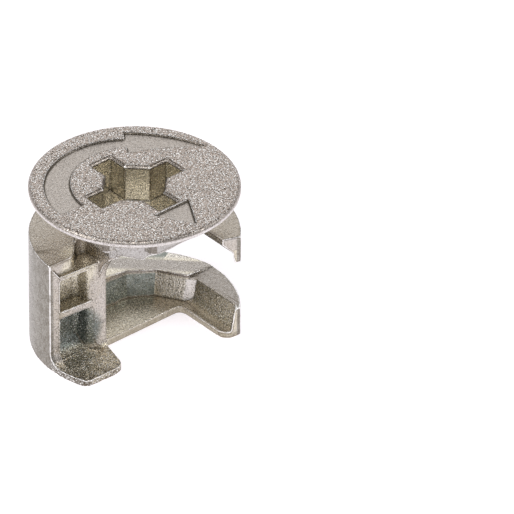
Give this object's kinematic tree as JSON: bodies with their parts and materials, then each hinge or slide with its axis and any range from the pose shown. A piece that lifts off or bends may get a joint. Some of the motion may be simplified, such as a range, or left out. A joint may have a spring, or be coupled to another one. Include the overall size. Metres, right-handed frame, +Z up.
{
  "type": "cam lock nut",
  "caption": "Round die-cast cam nut with a cross driver recess, a spiral jaw and a neck slot that draws in the head of a connecting bolt.",
  "frame": {"origin": "on the turning axis, at the bottom of the nut", "axes": "+Z up along the turning axis to the head with the driver recess; -Y towards the mouth where the bolt comes in"},
  "size_m": [0.0146, 0.0146, 0.0125],
  "materials": {
    "nickel_plate": "nickel-plated zinc die casting, satin with a grainy head"
  },
  "bodies": {
    "root": {"cam_lock_nut": "nickel_plate"}
  },
  "joints": []
}
